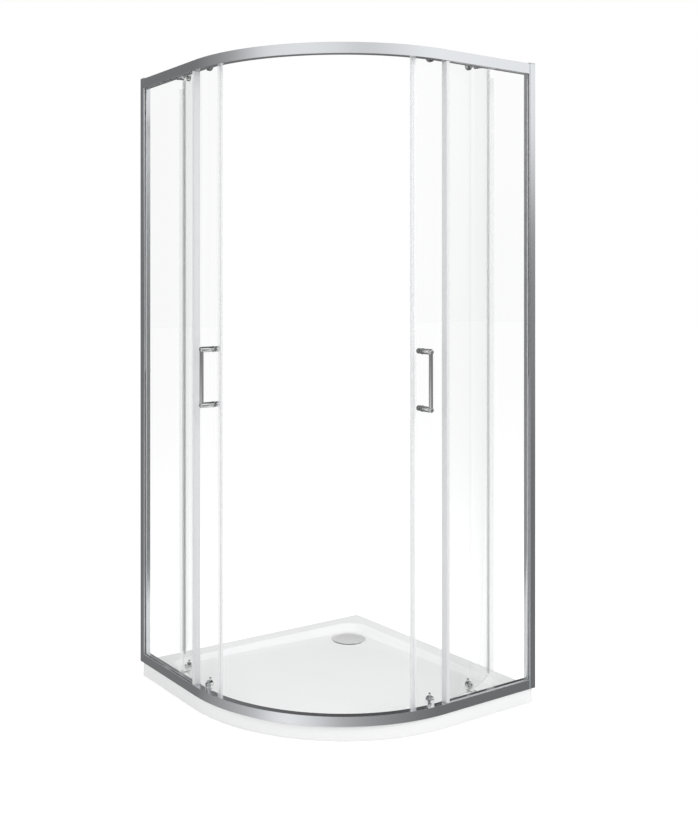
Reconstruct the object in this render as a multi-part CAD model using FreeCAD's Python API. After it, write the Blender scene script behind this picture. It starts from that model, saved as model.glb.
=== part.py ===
import FreeCAD, Part
import math
import os
from FreeCAD import Vector

os.makedirs("parts", exist_ok=True)

# Quadrant shower enclosure, in millimetres. The two room walls are the planes x = -half and
# y = +half and meet behind the tray; the rounded front faces +X and -Y. The origin is on the
# floor, in the middle of the square that the enclosure fills. Left is the side along y = -half.

# Plan and heights of the whole enclosure
plan_size = 895.0              # from a wall to the outer face of the opposite rail
bend_radius = 526.4            # outer face of the rails in the bend
frame_height = 1908.0          # from the tray's rim to the top of the upper rail

# Tray
tray_height = 44.0
tray_setback = 5.0             # the rails stand this far proud of the tray
tray_bend_radius = 534.0
tray_end_radius = 18.0
tray_back_radius = 4.0
rim_width = 58.0
basin_depth = 20.0             # at the waste
basin_fall = 0.012             # rise of the floor per length away from the waste
basin_bank = 25.0              # width of the sloping bank between rim and floor
basin_corner_radius = 75.0
waste_from_wall = 162.5

# Waste and its lift-off cover
waste_hole_radius = 45.0
waste_seat_radius = 61.0
waste_seat_depth = 6.0
waste_gasket_thickness = 2.0
waste_flange_thickness = 3.0
waste_sleeve_wall = 4.5
waste_foot_gap = 1.0           # sleeve ends this far above the floor
waste_clearance = 0.1          # flange to the tray's seat and hole
cover_radius = 59.0
cover_rise = 7.0
cover_thickness = 2.2
cover_gap = 3.5                # water gap under the cover's edge
cover_foot_radius = 3.0
cover_foot_circle = 51.0
cover_feet = 3
cover_lift = 120.0
catcher_thickness = 2.4
catcher_drop = 9.0             # below the flange's top
catcher_edge_gap = 2.5         # disc to the waste's sleeve
catcher_slots = 8
catcher_slot_width = 4.6
catcher_slot_start = 9.0       # from the middle
catcher_slot_margin = 8.0      # slot's end to the disc's edge

# Wall profiles, and the inner profiles that slide in them
profile_depth = 21.0           # out from the wall
profile_width = 25.0
profile_wall = 1.3
profile_base = 2.0
profile_cap_thickness = 3.0
profile_cap_plug = 10.0
wall_hole_radius = 2.75
wall_hole_count = 4
wall_hole_low = 180.0          # lowest hole, above the profile's foot
wall_hole_top_gap = 133.0      # highest hole, below the profile's top
inner_back = 8.0               # inner profile's back, out from the wall
inner_reveal = 3.3             # shows beyond the wall profile
inner_wall = 1.5
inner_outer_leg = 1.0
slide_clearance = 0.2
slot_depth = 10.0

# Rails
rail_depth = 23.0
rail_wall = 1.6
bottom_rail_height = 28.0
top_rail_height = 31.0
infill_thickness = 4.0
infill_clearance = 0.1

# Fixed glass, its gasket and its front seal
fixed_glass_thickness = 6.0
gasket_thickness = 1.4
fixed_seal_setback = 7.0       # the front seal ends this far before the bend
fixed_seal_nose = 6.0
fixed_seal_leg = 6.0
fixed_seal_skin = 1.2
fixed_seal_reach = 22.0        # inwards from the rail's outer face
seal_end_gap = 0.4

# Sliding doors: bent glass that runs inside the rails, round the bend's centre
door_glass_thickness = 6.0
door_glass_gap = 1.9           # rail's inner face to the door's glass
door_bottom_gap = 24.0         # rim to the glass
door_top_gap = 5.0             # glass to the top of the frame
door_open_angle = 11.3         # leading face past the start of the bend, door open
door_meeting_gap = 0.4
door_hook_gap = 2.0            # closed, between the door's fin and the fixed seal
door_seal_leg = 8.0
door_seal_skin = 1.2
trailing_nose = 3.0
trailing_fin_gap = 1.2         # fin's tip to the fixed seal's leg
leading_core = 6.0             # hollow nose that holds the magnet strip
magnet_width = 3.6
magnet_depth = 6.0

# Rollers
roller_front_setback = 72.0    # from the door's leading face, along the glass
roller_spacing = 176.0
wheel_radius = 9.0
wheel_width = 7.0
wheel_hub_radius = 4.5
wheel_rim_thickness = 1.6
wheel_face_recess = 0.8
wheel_chamfer = 0.6
wheel_gap = 0.3                # wheel to the rail's flange
axle_radius = 2.5
axle_clearance = 0.05
axle_play = 0.3
axle_head_radius = 4.2
axle_head_thickness = 1.2
axle_collar_thickness = 1.0
axle_end_gap = 0.5             # axle's end to the rail's web
cap_radius = 14.0
cap_depth = 11.0
cap_edge_radius = 4.5
cap_socket_depth = 8.0
glass_pad_gap = 0.2            # a soft pad's crush between metal and glass
nut_radius = 7.0
nut_thickness = 1.6
glass_hole_radius = 5.0
glass_hole_clearance = 0.1

# Sprung lower rollers, released by a knob
housing_radius = 12.5
housing_depth = 12.6
housing_edge_radius = 3.5
housing_setback = 11.0         # centre above the glass's lower edge
release_travel = 4.0
release_rod_radius = 2.0
release_collar_radius = 4.2
release_collar_thickness = 1.5
release_knob_radius = 4.0
release_knob_thickness = 2.5
release_foot_half_width = 5.0
release_foot_depth = 6.4
release_foot_drop = 5.0        # below the axle
chamber_radius = 4.6
chamber_half_height = 7.5
spring_wire_radius = 0.45
spring_radius = 3.2
spring_turns = 5
spring_clearance = 0.1         # spring to the chamber's floor and to the collar

# Handles
handle_height = 180.0
handle_centre = 960.0          # above the rim
handle_setback = 37.0          # from the door's leading face
handle_bar_radius = 6.0
handle_post_radius = 8.0
handle_stand_off = 43.5        # outer face of the glass to the bar's centre
handle_end_radius = 4.5
handle_washer_radius = 9.2
handle_washer_thickness = 2.0
handle_knob_depth = 15.0
handle_knob_edge = 2.5
handle_stud_radius = 3.0
handle_stud_clearance = 0.05
handle_stud_depth = 11.0       # into the post and the knob

# Screws, rail connectors and door stops
screw_radius = 2.0
screw_head_radius = 3.8
screw_head_thickness = 1.8
screw_hole_clearance = 0.1
connector_length = 14.0
connector_clearance = 0.2
side_screw_count = 3
side_screw_end_gap = 304.0     # first and last screw, from the profile's ends
side_screw_depth = 5.0
stop_thickness = 8.0
stop_height = 10.0
stop_gap = 0.3
stop_clearance = 0.3

cut_margin = 1.0               # a cut runs this far past the faces that it opens
same_place = 0.01              # places closer than this are one


def spread(count, low, high):
    """Evenly spaced places, the first at low and the last at high."""
    return [low + (high - low) * index / (count - 1) for index in range(count)]


# Places that follow from the sizes above
half = plan_size / 2
bend_x = half - bend_radius
bend_centre = Vector(bend_x, -bend_x, 0)
rim_z = tray_height
frame_top = rim_z + frame_height
bottom_rail_top = rim_z + bottom_rail_height
top_rail_bottom = frame_top - top_rail_height
inner_front = profile_depth + inner_reveal
rail_straight = half + bend_x - inner_front
wall_hole_heights = spread(wall_hole_count, wall_hole_low, frame_height - wall_hole_top_gap)
side_screw_heights = spread(side_screw_count, side_screw_end_gap,
                            frame_height - side_screw_end_gap)

glass_inset = rail_wall + gasket_thickness
glass_back = glass_inset + fixed_glass_thickness
web_inset = glass_back + gasket_thickness
groove_inset = web_inset + rail_wall
fixed_glass_end = bend_x - fixed_seal_setback - fixed_seal_nose

door_outer = bend_radius - rail_depth - door_glass_gap
door_inner = door_outer - door_glass_thickness
door_middle = (door_outer + door_inner) / 2
door_bottom = rim_z + door_bottom_gap
door_top = frame_top - door_top_gap


def door_angle(length):
    """Angle about the bend's centre of a length along the door's glass."""
    return math.degrees(length / door_middle)


door_travel = 45 - door_open_angle - door_angle(door_meeting_gap / 2)
closed_trailing = math.degrees(math.asin(
    (fixed_seal_setback + fixed_seal_nose + door_hook_gap) / (door_outer + door_seal_skin)))
leading_glass_angle = door_open_angle - door_angle(leading_core + 2 * door_seal_skin)
trailing_glass_angle = -(closed_trailing + door_travel)
front_roller_angle = door_open_angle - door_angle(roller_front_setback)
rear_roller_angle = front_roller_angle - door_angle(roller_spacing)
roller_angles = {"front": front_roller_angle, "rear": rear_roller_angle}
handle_angle = door_open_angle - door_angle(handle_setback)

wheel_outer = bend_radius - groove_inset - axle_end_gap - axle_head_thickness - axle_play
wheel_inner = wheel_outer - wheel_width
wheel_middle = (wheel_outer + wheel_inner) / 2
top_wheel_z = top_rail_bottom + rail_wall + wheel_gap + wheel_radius
bottom_wheel_z = bottom_rail_top - rail_wall - wheel_gap - wheel_radius
housing_z = door_bottom + housing_setback
waste_x = waste_from_wall - half
waste_y = -waste_x
basin_floor = tray_height - basin_depth
waste_seat_z = basin_floor - waste_seat_depth
flange_top = waste_seat_z + waste_gasket_thickness + waste_flange_thickness
sleeve_radius = waste_hole_radius - waste_sleeve_wall


def box(x0, x1, y0, y1, z0, z1):
    return Part.makeBox(x1 - x0, y1 - y0, z1 - z0, Vector(x0, y0, z0))


def prism(points, z0, z1):
    """Upright prism over a closed outline of (x, y) points."""
    corners = [Vector(x, y, z0) for x, y in points]
    return Part.Face(Part.makePolygon(corners + corners[:1])).extrude(Vector(0, 0, z1 - z0))


def turned(points, centre, axis):
    """Solid of revolution about axis, +X or +Z, from (along the axis, off the axis) points."""
    if axis.x:
        corners = [centre + Vector(along, 0, off) for along, off in points]
    else:
        corners = [centre + Vector(off, 0, along) for along, off in points]
    face = Part.Face(Part.makePolygon(corners + corners[:1]))
    return face.revolve(centre, axis, 360)


def peg(inner, outer, radius, z):
    """Cylinder that points away from the bend's centre, before it is turned into place."""
    return Part.makeCylinder(radius, outer - inner, Vector(inner, 0, z), Vector(1, 0, 0))


def in_place(shape, angle):
    """Turn a piece made along +X to its angle past the left start of the bend."""
    placed = shape.copy()
    placed.rotate(Vector(0, 0, 0), Vector(0, 0, 1), angle - 90)
    placed.translate(bend_centre)
    return placed


def mirrored(shape):
    """The right-hand twin of a left-hand piece, across the enclosure's diagonal."""
    return shape.mirror(Vector(0, 0, 0), Vector(1, 1, 0))


def unchanged(shape):
    return shape


def both(shape):
    return [shape, mirrored(shape)]


def group(solids):
    return Part.makeCompound(solids)


def left_plan(from_wall, inset):
    """Point of the left side from its distances to the wall and to the outer face."""
    return (from_wall - half, inset - half)


def left_box(wall0, wall1, inset0, inset1, z0, z1):
    return box(wall0 - half, wall1 - half, inset0 - half, inset1 - half, z0, z1)


def rounded_edge(shape, place, radius):
    """Round the circular edge of a turned piece whose plane is x = place."""
    edges = [edge for edge in shape.Edges
             if edge.Closed and abs(edge.BoundBox.XMin - place) < same_place
             and edge.BoundBox.XLength < same_place]
    return shape.makeFillet(radius, [max(edges, key=lambda edge: edge.Length)])


# Tray

def corner_arc(centre, radius, start, end):
    """Quarter arc about centre, between two of the plan's directions."""
    middle = (start + end) * math.sqrt(0.5)
    return Part.Arc(centre + start * radius, centre + middle * radius, centre + end * radius)


def plan_outline(wall_side, front_side, front_radius, end_radius, back_radius, z):
    """Closed quadrant outline: square at the walls, one large bend in front."""
    left = Vector(-1, 0, 0)
    right = Vector(1, 0, 0)
    front = Vector(0, -1, 0)
    back = Vector(0, 1, 0)
    bend = front_side - front_radius
    near = wall_side - end_radius
    far = front_side - end_radius
    corner = wall_side - back_radius
    arcs = [corner_arc(Vector(-near, -far, z), end_radius, left, front),
            corner_arc(Vector(bend, -bend, z), front_radius, front, right),
            corner_arc(Vector(far, near, z), end_radius, right, back),
            corner_arc(Vector(-corner, corner, z), back_radius, back, left)]
    edges = []
    for arc, following in zip(arcs, arcs[1:] + arcs[:1]):
        edges.append(arc.toShape())
        edges.append(Part.LineSegment(arc.EndPoint, following.StartPoint).toShape())
    return Part.Wire(edges)


def basin_outline(inset, z):
    corner = basin_corner_radius - (inset - rim_width)
    return plan_outline(half - inset, half - tray_setback - inset, tray_bend_radius - inset,
                        corner, corner, z)


def shower_tray():
    outline = plan_outline(half, half - tray_setback, tray_bend_radius,
                           tray_end_radius, tray_back_radius, 0)
    tray = Part.Face(outline).extrude(Vector(0, 0, tray_height))
    drop = 2 * basin_depth
    bank = basin_bank * drop / basin_depth
    basin = Part.makeLoft([basin_outline(rim_width, tray_height),
                           basin_outline(rim_width + bank, tray_height - drop)], True, True)
    reach = 2 * plan_size
    above_floor = Part.makeCone(0, reach, reach * basin_fall, Vector(waste_x, waste_y, basin_floor))
    tray = tray.cut(basin.common(above_floor))
    seat = Part.makeCylinder(waste_seat_radius, tray_height - waste_seat_z,
                             Vector(waste_x, waste_y, waste_seat_z))
    hole = Part.makeCylinder(waste_hole_radius, tray_height, Vector(waste_x, waste_y, 0))
    return tray.cut([seat, hole])


def waste_ring(outer, inner, z0, z1):
    return Part.makeCylinder(outer, z1 - z0, Vector(waste_x, waste_y, z0)).cut(
        Part.makeCylinder(inner, z1 - z0, Vector(waste_x, waste_y, z0)))


def waste_gasket():
    return waste_ring(waste_seat_radius - waste_clearance, waste_hole_radius,
                      waste_seat_z, waste_seat_z + waste_gasket_thickness)


def waste_flange():
    plate = waste_ring(waste_seat_radius - waste_clearance, sleeve_radius,
                       flange_top - waste_flange_thickness, flange_top)
    sleeve = waste_ring(waste_hole_radius - waste_clearance, sleeve_radius,
                        waste_foot_gap, flange_top)
    return plate.fuse(sleeve).removeSplitter()


def drain_cover():
    """Shallow dome on feet, with a stem for the hair catcher."""
    edge_z = flange_top + cover_gap
    ball = (cover_radius ** 2 + cover_rise ** 2) / (2 * cover_rise)
    top_z = edge_z + cover_thickness + cover_rise
    centre = Vector(waste_x, waste_y, top_z - ball)
    slab = Part.makeCylinder(cover_radius, top_z - edge_z, Vector(waste_x, waste_y, edge_z))
    dome = slab.common(Part.makeSphere(ball, centre)).cut(
        Part.makeSphere(ball - cover_thickness, centre))
    feet = []
    for index in range(cover_feet):
        turn = 2 * math.pi * index / cover_feet
        foot = Vector(waste_x + cover_foot_circle * math.cos(turn),
                      waste_y + cover_foot_circle * math.sin(turn), flange_top)
        feet.append(Part.makeCylinder(cover_foot_radius, cover_gap + cover_thickness, foot))
    stem_z = flange_top - catcher_drop
    stem = Part.makeCylinder(cover_foot_radius, top_z - cover_thickness / 2 - stem_z,
                             Vector(waste_x, waste_y, stem_z))
    return dome.fuse(feet + [stem]).removeSplitter()


def hair_catcher():
    """Slotted disc under the cover."""
    stem_z = flange_top - catcher_drop
    low = stem_z - catcher_thickness
    edge = sleeve_radius - catcher_edge_gap
    disc = Part.makeCylinder(edge, catcher_thickness, Vector(waste_x, waste_y, low))
    slots = []
    for index in range(catcher_slots):
        slot = box(waste_x + catcher_slot_start, waste_x + edge - catcher_slot_margin,
                   waste_y - catcher_slot_width / 2, waste_y + catcher_slot_width / 2,
                   low, stem_z)
        slot.rotate(Vector(waste_x, waste_y, 0), Vector(0, 0, 1), 360 * index / catcher_slots)
        slots.append(slot)
    return disc.cut(slots)


# Wall profiles and inner profiles, left side

def wall_profile():
    points = [(0, 0), (profile_depth, 0), (profile_depth, profile_wall),
              (profile_base, profile_wall), (profile_base, profile_width - profile_wall),
              (profile_depth, profile_width - profile_wall), (profile_depth, profile_width),
              (0, profile_width)]
    body = prism([left_plan(*point) for point in points], rim_z, frame_top)
    holes = [Part.makeCylinder(wall_hole_radius, profile_base,
                               Vector(-half, profile_width / 2 - half, rim_z + height),
                               Vector(1, 0, 0))
             for height in wall_hole_heights]
    screws = [side_screw_hole(height) for height in side_screw_heights]
    return body.cut(holes + screws)


def inner_profile():
    """Extrusion with a slot for the glass and a chamber for the screws."""
    low = profile_wall + slide_clearance
    high = profile_width - profile_wall - slide_clearance
    body = left_box(inner_back, inner_front, low, high, rim_z, frame_top)
    slot_floor = inner_front - slot_depth
    slot = left_box(slot_floor, inner_front, low + inner_outer_leg, web_inset, rim_z, frame_top)
    hollow = left_box(inner_back + inner_wall, inner_front - inner_wall, web_inset + inner_wall,
                      high - inner_wall, rim_z, frame_top)
    side = left_box(inner_back + inner_wall, slot_floor - inner_wall, low + inner_wall,
                    web_inset + inner_wall, rim_z, frame_top)
    screws = [side_screw_hole(height) for height in side_screw_heights]
    ends = [hole for z0, z1 in groove_heights() for hole in connector_holes(z0, z1)]
    return body.cut([slot, hollow, side] + screws + ends)


def profile_end_cap():
    plate = left_box(0, inner_front, 0, profile_width, frame_top, frame_top + profile_cap_thickness)
    plug = left_box(profile_base + slide_clearance, inner_back - slide_clearance,
                    profile_wall + slide_clearance, profile_width - profile_wall - slide_clearance,
                    frame_top - profile_cap_plug, frame_top)
    return plate.fuse(plug)


def side_screw_place(height):
    return Vector((inner_back + inner_front) / 2 - half, profile_width - half, rim_z + height)


def side_screw_hole(height):
    return Part.makeCylinder(screw_radius + screw_hole_clearance, side_screw_depth,
                             side_screw_place(height), Vector(0, -1, 0))


def screw(seat, way, length):
    """Pan-head screw whose head sits on seat and whose shank runs along way."""
    shank = Part.makeCylinder(screw_radius, length, seat, way)
    head = Part.makeCylinder(screw_head_radius, screw_head_thickness, seat, way * -1)
    return shank.fuse(head)


# Rails

def section_face(section):
    """Upright face of a rail at the right end of the bend, from (inset, height) points."""
    corners = [Vector(bend_radius - inset, 0, height) for inset, height in section]
    return Part.Face(Part.makePolygon(corners + corners[:1]))


def along_rail(section, straight):
    """Bar round the bend, with a straight of the same length at each end."""
    face = section_face(section)
    bend = face.revolve(Vector(0, 0, 0), Vector(0, 0, -1), 90)
    right = face.extrude(Vector(0, straight, 0))
    start = face.copy()
    start.rotate(Vector(0, 0, 0), Vector(0, 0, 1), -90)
    left = start.extrude(Vector(-straight, 0, 0))
    bar = bend.fuse([left, right]).removeSplitter()
    bar.translate(bend_centre)
    return bar


def rail_section(closed_z, open_z):
    """Rail section: glazing channel towards open_z, roller groove towards the inside."""
    up = 1 if open_z > closed_z else -1
    floor = closed_z + up * rail_wall
    lip = open_z - up * rail_wall
    return [(0, closed_z), (rail_depth, closed_z), (rail_depth, floor), (groove_inset, floor),
            (groove_inset, lip), (rail_depth, lip), (rail_depth, open_z), (web_inset, open_z),
            (web_inset, floor), (rail_wall, floor), (rail_wall, open_z), (0, open_z)]


def rail(closed_z, open_z):
    bar = along_rail(rail_section(closed_z, open_z), rail_straight)
    z0, z1 = sorted((closed_z, open_z))
    left = group(connector_holes(z0 + rail_wall, z1 - rail_wall))
    return bar.cut(both(left))


def infill_strip(open_z, way):
    inner = open_z - way * infill_thickness
    section = [(rail_wall + infill_clearance, inner), (web_inset - infill_clearance, inner),
               (web_inset - infill_clearance, open_z), (rail_wall + infill_clearance, open_z)]
    return along_rail(section, fixed_seal_setback - seal_end_gap)


def groove_heights():
    """Clear heights of the roller grooves in the lower and the upper rail."""
    return [(rim_z + rail_wall, bottom_rail_top - rail_wall),
            (top_rail_bottom + rail_wall, frame_top - rail_wall)]


def connector_middle():
    return (groove_inset + rail_depth) / 2


def connector_screws(z0, z1):
    """One screw along the rail into the inner profile, one across into the rail's web."""
    front = inner_front + connector_length
    across = inner_front + connector_length / 2
    third = (z1 - z0) / 3
    along = (Vector(front - half, connector_middle() - half, z0 + third), Vector(-1, 0, 0),
             connector_length + 2 * inner_wall)
    inwards = (Vector(across - half, rail_depth - connector_clearance - half, z1 - third),
               Vector(0, -1, 0), rail_depth - groove_inset + rail_wall / 2)
    return [along, inwards]


def connector_holes(z0, z1):
    return [Part.makeCylinder(screw_radius + screw_hole_clearance, length, seat, way)
            for seat, way, length in connector_screws(z0, z1)]


def rail_connector(z0, z1):
    block = left_box(inner_front, inner_front + connector_length,
                     groove_inset + connector_clearance, rail_depth - connector_clearance,
                     z0 + connector_clearance, z1 - connector_clearance)
    return block.cut(connector_holes(z0, z1))


# Fixed glass, left side

def fixed_glass():
    start = inner_front - slot_depth + gasket_thickness
    return box(start - half, fixed_glass_end, glass_inset - half, glass_back - half,
               rim_z + rail_wall + gasket_thickness, frame_top - rail_wall - gasket_thickness)


def rail_gasket(closed_z, open_z):
    up = 1 if open_z > closed_z else -1
    floor = closed_z + up * rail_wall
    base = floor + up * gasket_thickness
    points = [(rail_wall, floor), (web_inset, floor), (web_inset, open_z), (glass_back, open_z),
              (glass_back, base), (glass_inset, base), (glass_inset, open_z), (rail_wall, open_z)]
    corners = [Vector(inner_front - half, inset - half, z) for inset, z in points]
    face = Part.Face(Part.makePolygon(corners + corners[:1]))
    return face.extrude(Vector(fixed_glass_end - (inner_front - half), 0, 0))


def slot_gasket():
    start = inner_front - slot_depth
    low = profile_wall + slide_clearance + inner_outer_leg
    body = left_box(start, inner_front, low, web_inset, rim_z, frame_top)
    core = left_box(start + gasket_thickness, inner_front, glass_inset, glass_back,
                    rim_z + rail_wall + gasket_thickness, frame_top - rail_wall - gasket_thickness)
    return body.cut(core)


def fixed_seal():
    """Clip over the glass's front edge, with a fin that reaches in to the door."""
    back = fixed_glass_end - fixed_seal_leg
    nose = fixed_glass_end
    front = fixed_glass_end + fixed_seal_nose
    outer = glass_inset - fixed_seal_skin - half
    inner = glass_back + fixed_seal_skin - half
    reach = fixed_seal_reach - half
    fin = nose + fixed_seal_nose / 2
    points = [(back, outer), (front, outer), (front, reach), (fin, reach), (nose, inner),
              (back, inner), (back, glass_back - half), (nose, glass_back - half),
              (nose, glass_inset - half), (back, glass_inset - half)]
    return prism(points, bottom_rail_top + seal_end_gap, top_rail_bottom - seal_end_gap)


def door_stop():
    """Rubber block in the upper rail's groove that meets the open door's rear wheel."""
    angle = math.radians(rear_roller_angle)
    along = Vector(math.cos(angle), math.sin(angle), 0)
    out = Vector(math.sin(angle), -math.cos(angle), 0)
    contact = along * -(wheel_radius + stop_gap)
    inner = door_outer + nut_thickness
    near = bend_centre + out * inner + contact
    far = near - along * stop_thickness
    mouth = rail_depth - half
    web = groove_inset + stop_clearance - half
    near_run = (mouth - near.y) / out.y
    near_mouth = near + out * near_run
    far_mouth = far + out * ((mouth - far.y) / out.y)
    points = [(near.x, near.y), (far.x, far.y), (far_mouth.x, mouth),
              (far_mouth.x - stop_thickness / 2, mouth), (far_mouth.x - stop_thickness / 2, web),
              (near_mouth.x, web), (near_mouth.x, mouth)]
    low = top_rail_bottom + rail_wall
    return prism(points, low, low + stop_height)


# Doors: pieces made along +X from the bend's centre, then turned into place

def bent_panel(inner, outer, start, end, z0, z1):
    """Part of an upright tube between two angles past the left start of the bend."""
    face = Part.Face(Part.makePolygon([Vector(inner, 0, z0), Vector(outer, 0, z0),
                                       Vector(outer, 0, z1), Vector(inner, 0, z1),
                                       Vector(inner, 0, z0)]))
    panel = face.revolve(Vector(0, 0, 0), Vector(0, 0, 1), end - start)
    return in_place(panel, start)


def door_glass():
    panel = bent_panel(door_inner, door_outer, trailing_glass_angle, leading_glass_angle,
                       door_bottom, door_top)
    places = [(angle, z) for angle in roller_angles.values() for z in (top_wheel_z, housing_z)]
    places += [(handle_angle, z) for z in handle_post_heights()]
    return panel.cut([in_place(peg(door_inner - cut_margin, door_outer + cut_margin,
                                   glass_hole_radius, z), angle) for angle, z in places])


def handle_post_heights():
    reach = handle_height / 2 - handle_post_radius
    return [rim_z + handle_centre - reach, rim_z + handle_centre + reach]


def leading_seal():
    """Clip over the leading edge, with a hollow nose for the magnet strip."""
    skin = door_angle(door_seal_skin)
    edge = leading_glass_angle
    whole = bent_panel(door_inner - door_seal_skin, door_outer + door_seal_skin,
                       edge - door_angle(door_seal_leg), door_open_angle, door_bottom, door_top)
    glass = bent_panel(door_inner, door_outer, edge - door_angle(2 * door_seal_leg), edge,
                       door_bottom, door_top)
    core = bent_panel(door_inner, door_outer, edge + skin, door_open_angle - skin,
                      door_bottom, door_top)
    return whole.cut([glass, core])


def magnet_strip():
    centre = door_open_angle - door_angle(door_seal_skin + leading_core / 2)
    strip = box(door_middle - magnet_depth / 2, door_middle + magnet_depth / 2,
                -magnet_width / 2, magnet_width / 2, door_bottom + seal_end_gap,
                door_top - seal_end_gap)
    room = bent_panel(door_inner + seal_end_gap, door_outer - seal_end_gap,
                      trailing_glass_angle, door_open_angle, door_bottom, door_top)
    return in_place(strip, centre).common(room)


def trailing_seal():
    """Clip over the trailing edge, with a fin that hooks behind the fixed seal."""
    edge = trailing_glass_angle
    nose = door_angle(trailing_nose)
    clip = bent_panel(door_inner - door_seal_skin, door_outer + door_seal_skin,
                      edge - nose, edge + door_angle(door_seal_leg), door_bottom, door_top)
    glass = bent_panel(door_inner, door_outer, edge, edge + door_angle(2 * door_seal_leg),
                       door_bottom, door_top)
    tip = bend_radius - glass_back - fixed_seal_skin - trailing_fin_gap
    fin = bent_panel(door_inner, tip, edge - nose, edge, bottom_rail_top + seal_end_gap,
                     top_rail_bottom - seal_end_gap)
    return clip.cut(glass).fuse(fin).removeSplitter()


# Rollers

def wheel(z):
    half_width = wheel_width / 2
    bore = axle_radius + axle_clearance
    rim = wheel_radius - wheel_rim_thickness
    face = half_width - wheel_face_recess
    points = [(-half_width, bore), (-half_width, wheel_hub_radius), (-face, wheel_hub_radius),
              (-face, rim), (-half_width, rim), (-half_width, wheel_radius - wheel_chamfer),
              (wheel_chamfer - half_width, wheel_radius), (half_width - wheel_chamfer, wheel_radius),
              (half_width, wheel_radius - wheel_chamfer), (half_width, rim), (face, rim),
              (face, wheel_hub_radius), (half_width, wheel_hub_radius), (half_width, bore)]
    return turned(points, Vector(wheel_middle, 0, z), Vector(1, 0, 0))


def axle(start, z):
    """Axle with a collar behind the wheel and a head in front of it."""
    head_start = wheel_outer + axle_play
    rod = peg(start, head_start, axle_radius, z)
    collar_end = wheel_inner - axle_play
    collar = peg(collar_end - axle_collar_thickness, collar_end, axle_head_radius, z)
    head = peg(head_start, head_start + axle_head_thickness, axle_head_radius, z)
    return rod.fuse([collar, head]).removeSplitter()


def roller_nut(z):
    """Outer nut with a sleeve through the glass."""
    plate = peg(door_outer, door_outer + nut_thickness, nut_radius, z)
    sleeve = peg(door_inner, door_outer, glass_hole_radius - glass_hole_clearance, z)
    bore = peg(door_inner, door_outer + nut_thickness, axle_radius + axle_clearance, z)
    return plate.fuse(sleeve).cut(bore)


def top_cap():
    face = door_inner - glass_pad_gap
    cap = peg(face - cap_depth, face, cap_radius, top_wheel_z)
    cap = rounded_edge(cap, face - cap_depth, cap_edge_radius)
    return cap.cut(peg(face - cap_socket_depth, face, axle_radius + axle_clearance, top_wheel_z))


def top_axle():
    return axle(door_inner - glass_pad_gap - cap_socket_depth, top_wheel_z)


def rod_place():
    """Distance of the release rod from the bend's centre."""
    return door_inner - glass_pad_gap - housing_depth / 2 - spring_wire_radius


def bottom_housing():
    """Round housing with a sprung chamber, and a stud through the glass."""
    face = door_inner - glass_pad_gap
    body = peg(face - housing_depth, face, housing_radius, housing_z)
    body = rounded_edge(body, face - housing_depth, housing_edge_radius)
    body = body.fuse(peg(face - glass_pad_gap, door_outer + nut_thickness, axle_radius, housing_z))
    chamber = Part.makeCylinder(chamber_radius, 2 * chamber_half_height,
                                Vector(rod_place(), 0, housing_z - chamber_half_height))
    past = housing_radius + cut_margin
    way = Part.makeCylinder(release_rod_radius + axle_clearance, 2 * past,
                            Vector(rod_place(), 0, housing_z - past))
    return body.cut([chamber, way])


def release_slide():
    """Rod with a knob on top, a collar for the spring, and a foot that carries the axle."""
    x = rod_place()
    knob_low = housing_z + housing_radius + release_travel + stop_gap
    foot_top = housing_z - housing_radius - stop_gap
    foot_low = bottom_wheel_z - release_foot_drop
    rod = Part.makeCylinder(release_rod_radius, knob_low - foot_low, Vector(x, 0, foot_low))
    knob = Part.makeCylinder(release_knob_radius, release_knob_thickness, Vector(x, 0, knob_low))
    collar_top = housing_z + chamber_half_height - stop_gap
    collar = Part.makeCylinder(release_collar_radius, release_collar_thickness,
                               Vector(x, 0, collar_top - release_collar_thickness))
    foot = box(x - release_foot_depth / 2, x + release_foot_depth / 2,
               -release_foot_half_width, release_foot_half_width, foot_low, foot_top)
    return rod.fuse([knob, collar, foot, axle(x, bottom_wheel_z)]).removeSplitter()


def release_spring():
    low = housing_z - chamber_half_height + spring_clearance + spring_wire_radius
    high = (housing_z + chamber_half_height - stop_gap - release_collar_thickness
            - spring_clearance - spring_wire_radius)
    height = high - low
    helix = Part.makeHelix(height / spring_turns, height, spring_radius)
    circle = Part.Wire(Part.Circle(Vector(spring_radius, 0, 0), Vector(0, 1, 0),
                                   spring_wire_radius).toShape())
    coil = Part.Wire(helix.Edges).makePipeShell([circle], True, True)
    coil.translate(Vector(rod_place(), 0, low))
    return coil


# Handles

def handle_bar():
    low, high = handle_post_heights()
    start = door_outer + handle_washer_thickness
    centre = door_outer + handle_stand_off
    end = centre + handle_bar_radius
    bar = Part.makeCylinder(handle_bar_radius, high - low, Vector(centre, 0, low))
    posts = [rounded_edge(peg(start, end, handle_post_radius, z), end, handle_end_radius)
             for z in (low, high)]
    sockets = [peg(start, start + handle_stud_depth, handle_stud_radius + handle_stud_clearance, z)
               for z in (low, high)]
    return bar.fuse(posts).removeSplitter().cut(sockets)


def handle_washer(z):
    """Washer against the outer face, with a sleeve through the glass."""
    plate = peg(door_outer, door_outer + handle_washer_thickness, handle_washer_radius, z)
    sleeve = peg(door_inner, door_outer, glass_hole_radius - glass_hole_clearance, z)
    bore = peg(door_inner, door_outer + handle_washer_thickness,
               handle_stud_radius + handle_stud_clearance, z)
    return plate.fuse(sleeve).cut(bore)


def handle_knob(z):
    face = door_inner - glass_pad_gap
    knob = peg(face - handle_knob_depth, face, handle_post_radius, z)
    knob = rounded_edge(knob, face - handle_knob_depth, handle_knob_edge)
    socket = peg(face - handle_stud_depth, face, handle_stud_radius + handle_stud_clearance, z)
    return knob.cut(socket)


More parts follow.
